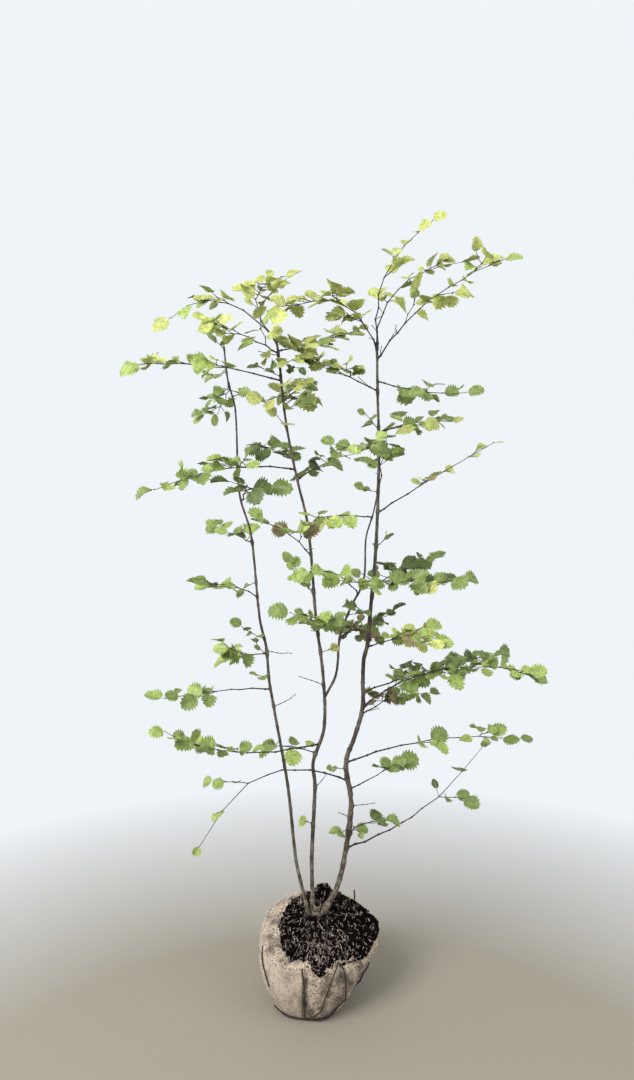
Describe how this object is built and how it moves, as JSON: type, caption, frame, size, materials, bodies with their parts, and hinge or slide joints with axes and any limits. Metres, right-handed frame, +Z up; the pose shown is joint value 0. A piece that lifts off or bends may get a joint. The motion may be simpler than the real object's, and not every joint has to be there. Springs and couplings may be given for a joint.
{
  "type": "multi-stemmed tree sapling on a wrapped root ball",
  "caption": "Slender deciduous sapling with several thin stems, airy sprays of toothed leaves and a jute-wrapped root ball to stand on.",
  "frame": {"origin": "on the flat underside of the root ball, on the ground", "axes": "+Z up along the stems, +Y away from the viewer, +X to the viewer's right"},
  "size_m": [1.0579, 0.5828, 2.03],
  "materials": {
    "bark": "matte grey-brown bark with paler patches and darker nodes",
    "foliage": "thin satin leaves, lime to olive green, with bronzed edges on some sprays",
    "jute": "coarse plain-woven jute, stained dark near the ground",
    "soil": "damp dark soil with pale root fibres and bark chips"
  },
  "bodies": {
    "root": {"centre_fan_spray": "foliage", "centre_green_spray": "foliage", "centre_mid_spray": "foliage", "centre_ring_spray": "foliage", "foot_front_spray": "foliage", "inner_fan_low_spray": "foliage", "inner_left_spray": "foliage", "inner_stem": "bark", "inner_top_spray": "foliage", "jute_wrap": "jute", "leader_spray": "foliage", "left_arm_bough": "bark", "left_arm_spray": "foliage", "left_cluster_spray": "foliage", "left_crossing_spray": "foliage", "left_long_bough": "bark", "left_long_spray": "foliage", "left_low_arm_bough": "bark", "left_low_arm_spray": "foliage", "left_low_mid_spray": "foliage", "left_low_spray": "foliage", "left_mid_spray": "foliage", "left_stem": "bark", "left_top_spray": "foliage", "low_centre_left_spray": "foliage", "low_left_bough": "bark", "low_left_spray": "foliage", "low_sweep_bough": "bark", "low_sweep_spray": "foliage", "middle_front_spray": "foliage", "middle_stem": "bark", "middle_upper_spray": "foliage", "right_arm_bough": "bark", "right_arm_spray": "foliage", "right_foot_arm_bough": "bark", "right_foot_arm_spray": "foliage", "right_foot_inner_spray": "foliage", "right_low_arm_bough": "bark", "right_low_arm_spray": "foliage", "right_low_back_spray": "foliage", "right_low_inner_spray": "foliage", "right_low_mid_spray": "foliage", "right_mid_back_spray": "foliage", "right_mid_spray": "foliage", "right_stem": "bark", "right_upper_back_spray": "foliage", "right_upper_spray": "foliage", "right_whip_bough": "bark", "right_whip_spray": "foliage", "root_collar": "bark", "soil_ball": "soil", "tangle_spray": "foliage", "top_centre_spray": "foliage", "top_left_far_bough": "bark", "top_left_far_spray": "foliage", "top_left_high_spray": "foliage", "top_right_back_spray": "foliage", "top_right_spray": "foliage", "upper_cross_spray": "foliage", "upper_left_spray": "foliage"}
  },
  "joints": []
}
